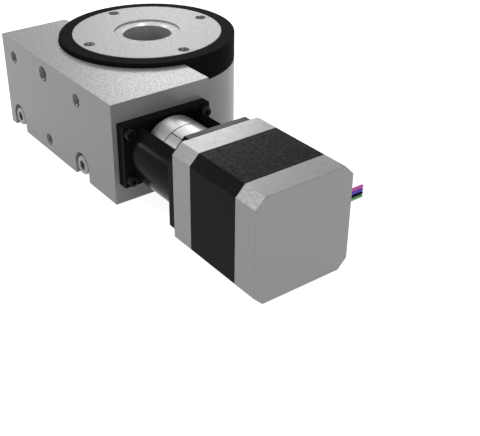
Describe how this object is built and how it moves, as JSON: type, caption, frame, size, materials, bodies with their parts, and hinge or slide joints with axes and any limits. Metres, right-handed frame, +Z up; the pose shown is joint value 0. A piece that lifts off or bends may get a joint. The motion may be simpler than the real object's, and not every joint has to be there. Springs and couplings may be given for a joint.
{
  "type": "positioning rotary table",
  "caption": "Worm-driven rotary table with a hollow centre, turned by a square stepper motor through a clamp coupling in a windowed tube.",
  "frame": {"origin": "table axis in the base plane", "axes": "+Z up along the table axis, +Y away from the motor, +X towards the round end"},
  "size_m": [0.0931, 0.1881, 0.0465],
  "materials": {
    "block_aluminium": "bead-blasted natural aluminium",
    "plate_aluminium": "fine-blasted natural aluminium",
    "black_anodised": "black anodised, satin",
    "bright_steel": "bright turned steel",
    "black_steel": "black oxide",
    "bearing_steel": "ground and polished",
    "bronze": "hobbed bronze",
    "polished_aluminium": "turned and polished",
    "motor_cast": "machined die casting",
    "stack_black": "matt black paint",
    "copper": "enamelled winding",
    "grommet_plastic": "moulded",
    "pink_insulation": "smooth insulation",
    "blue_insulation": "smooth insulation",
    "navy_insulation": "smooth insulation",
    "green_insulation": "smooth insulation",
    "rotor_steel": "ground laminations"
  },
  "bodies": {
    "housing": {"housing_block": "block_aluminium", "side_cap_screws": "bright_steel", "bottom_cover": "plate_aluminium", "bottom_cover_screws": "black_steel", "bearing_retainer": "plate_aluminium", "bearing_retainer_screws": "black_steel", "table_bearing_outer": "bearing_steel", "worm_bearing_outers": "bearing_steel", "worm_bearing_nut": "black_steel", "worm_end_plug": "plate_aluminium", "coupling_housing": "black_anodised", "coupling_housing_screws": "black_steel", "motor_mount_screws": "black_steel", "motor_front_flange": "motor_cast", "motor_stack": "stack_black", "motor_rear_cap": "motor_cast", "stator_coils": "copper", "lead_grommet": "grommet_plastic", "lead_pink": "pink_insulation", "lead_blue": "blue_insulation", "lead_navy": "navy_insulation", "lead_green": "green_insulation", "motor_bearing_outers": "bearing_steel"},
    "table": {"table_plate": "plate_aluminium", "dial_ring": "black_anodised", "worm_wheel": "bronze", "spindle_nut": "black_steel", "table_bearing_inner": "bearing_steel", "table_bearing_balls": "bearing_steel"},
    "drive": {"worm_shaft": "bright_steel", "worm_bearing_inners": "bearing_steel", "worm_bearing_balls": "bearing_steel", "shaft_coupling": "polished_aluminium", "coupling_clamp_screws": "black_steel", "motor_shaft": "bright_steel", "rotor_core": "rotor_steel", "motor_bearing_inners": "bearing_steel", "motor_bearing_balls": "bearing_steel"}
  },
  "joints": [
    {"name": "table_spin", "type": "hinge", "parent": "housing", "child": "table", "pos_m": [0, 0, 0], "axis": [0, 0, 1], "continuous": true},
    {"name": "drive_spin", "type": "hinge", "parent": "housing", "child": "drive", "pos_m": [-0.03025, 0, 0.02255], "axis": [0, 1, 0], "continuous": true}
  ],
  "couplings": [
    {"joint": "drive_spin", "follows": "table_spin", "ratio": 60}
  ]
}
